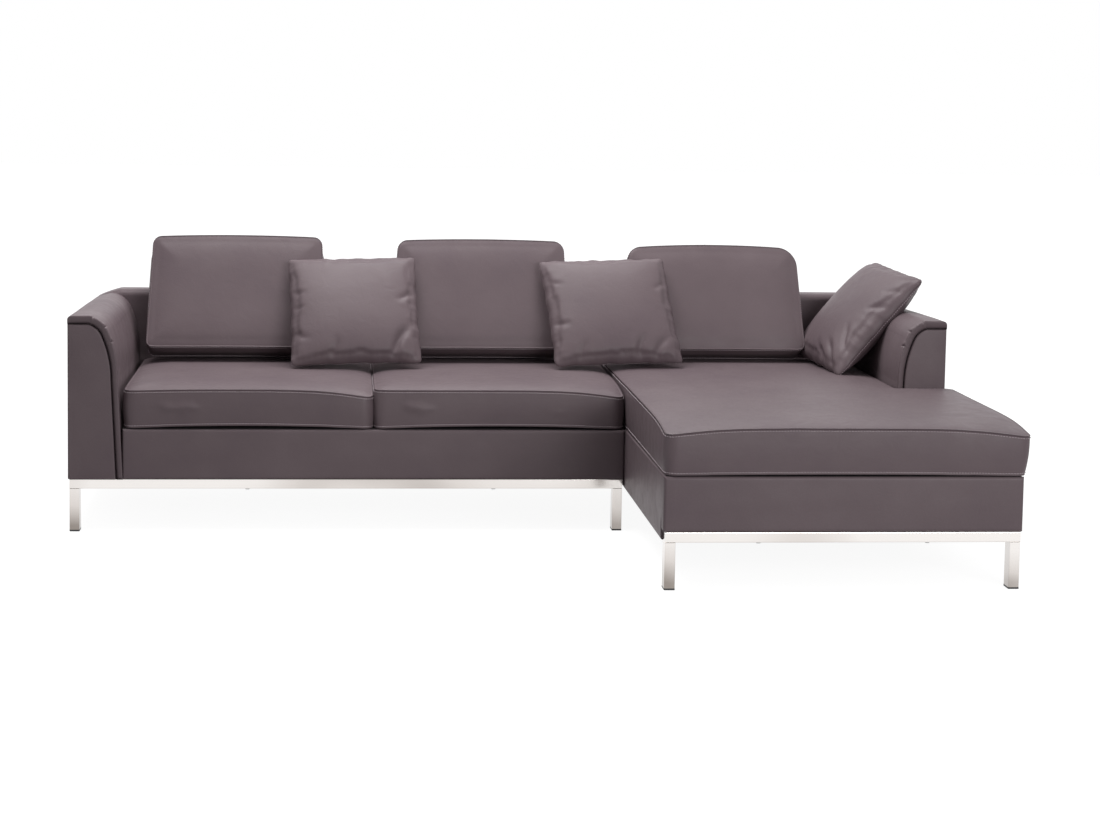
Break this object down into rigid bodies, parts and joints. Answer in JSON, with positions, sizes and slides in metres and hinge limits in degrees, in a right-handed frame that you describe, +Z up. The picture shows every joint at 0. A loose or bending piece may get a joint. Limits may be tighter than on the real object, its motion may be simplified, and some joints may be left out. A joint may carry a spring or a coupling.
{
  "type": "corner sofa",
  "caption": "Low modular corner sofa with a right-hand chaise, on chrome rail legs, with loose leather seat, back and throw cushions.",
  "frame": {"origin": "on the floor, in the middle of the whole width and of the chaise's depth", "axes": "+X to the right seen from the front, +Y to the back, +Z up"},
  "size_m": [2.72, 1.668, 0.8621],
  "materials": {
    "body_leather": "smooth semi-matt leather, brown aubergine, tone-on-tone stitching",
    "cushion_leather": "soft semi-matt leather, brown aubergine, fine grain, light creases",
    "pillow_leather": "soft semi-matt leather, wrinkled towards the knife edge",
    "rail_chrome": "polished chrome plate",
    "connector_steel": "zinc-plated steel",
    "glide_plastic": "dark moulded plastic",
    "frame_timber": "sawn softwood and board",
    "webbing": "woven elastic upholstery webbing",
    "deck_cloth": "woven deck cloth over a padded board",
    "dust_cloth": "black non-woven dust cloth"
  },
  "bodies": {
    "frame": {"chaise_arm_bearer": "frame_timber", "chaise_arm_packer": "frame_timber", "chaise_back_pad": "body_leather", "chaise_back_posts": "frame_timber", "chaise_back_top_rail": "frame_timber", "chaise_back_webbing": "webbing", "chaise_frame_cross_boards": "frame_timber", "chaise_frame_long_boards": "frame_timber", "chaise_front_border": "body_leather", "chaise_front_legs": "rail_chrome", "chaise_front_rail": "rail_chrome", "chaise_left_cover": "body_leather", "chaise_rear_cover": "body_leather", "chaise_rear_legs": "rail_chrome", "chaise_rear_rail": "rail_chrome", "chaise_right_cover": "body_leather", "chaise_seat_deck": "deck_cloth", "chaise_seat_webbing": "webbing", "dust_covers": "dust_cloth", "left_arm_battens": "frame_timber", "left_arm_facing": "body_leather", "left_arm_formers": "frame_timber", "left_arm_outer_cover": "body_leather", "left_arm_pad": "body_leather", "leg_glides": "glide_plastic", "module_keepers": "connector_steel", "module_tongues": "connector_steel", "rail_bolts": "connector_steel", "rail_end_caps": "rail_chrome", "right_arm_battens": "frame_timber", "right_arm_facing": "body_leather", "right_arm_formers": "frame_timber", "right_arm_outer_cover": "body_leather", "right_arm_pad": "body_leather", "side_battens": "frame_timber", "sofa_back_pad": "body_leather", "sofa_back_posts": "frame_timber", "sofa_back_top_rail": "frame_timber", "sofa_back_webbing": "webbing", "sofa_end_cover": "body_leather", "sofa_frame_cross_boards": "frame_timber", "sofa_frame_long_boards": "frame_timber", "sofa_front_border": "body_leather", "sofa_front_legs": "rail_chrome", "sofa_front_rail": "rail_chrome", "sofa_rear_cover": "body_leather", "sofa_rear_legs": "rail_chrome", "sofa_rear_rail": "rail_chrome", "sofa_seat_deck": "deck_cloth", "sofa_seat_webbing": "webbing"},
    "seat_cushion_left_body": {"seat_cushion_left": "cushion_leather"},
    "seat_cushion_right_body": {"seat_cushion_right": "cushion_leather"},
    "chaise_cushion_body": {"chaise_cushion": "cushion_leather"},
    "back_cushion_left_body": {"back_cushion_left": "cushion_leather"},
    "back_cushion_middle_body": {"back_cushion_middle": "cushion_leather"},
    "back_cushion_right_body": {"back_cushion_right": "cushion_leather"},
    "throw_pillow_left_body": {"throw_pillow_left": "pillow_leather"},
    "throw_pillow_middle_body": {"throw_pillow_middle": "pillow_leather"},
    "throw_pillow_right_body": {"throw_pillow_right": "pillow_leather"}
  },
  "joints": [
    {"name": "seat_cushion_left_slide", "type": "slide", "parent": "frame", "child": "seat_cushion_left_body", "axis": [0, -1, 0], "range_m": [0, 0.8]},
    {"name": "seat_cushion_right_slide", "type": "slide", "parent": "frame", "child": "seat_cushion_right_body", "axis": [0, -1, 0], "range_m": [0, 0.8]},
    {"name": "chaise_cushion_slide", "type": "slide", "parent": "frame", "child": "chaise_cushion_body", "axis": [0, -1, 0], "range_m": [0, 1.6]},
    {"name": "back_cushion_left_lift", "type": "slide", "parent": "frame", "child": "back_cushion_left_body", "axis": [0, 0.4067, 0.9135], "range_m": [0, 0.45]},
    {"name": "back_cushion_middle_lift", "type": "slide", "parent": "frame", "child": "back_cushion_middle_body", "axis": [0, 0.4067, 0.9135], "range_m": [0, 0.45]},
    {"name": "back_cushion_right_lift", "type": "slide", "parent": "frame", "child": "back_cushion_right_body", "axis": [0, 0.4067, 0.9135], "range_m": [0, 0.45]},
    {"name": "throw_pillow_left_lift", "type": "slide", "parent": "frame", "child": "throw_pillow_left_body", "axis": [0, 0, 1], "range_m": [0, 0.45]},
    {"name": "throw_pillow_middle_lift", "type": "slide", "parent": "frame", "child": "throw_pillow_middle_body", "axis": [0, 0, 1], "range_m": [0, 0.45]},
    {"name": "throw_pillow_right_lift", "type": "slide", "parent": "frame", "child": "throw_pillow_right_body", "axis": [0, 0, 1], "range_m": [0, 0.45]}
  ]
}
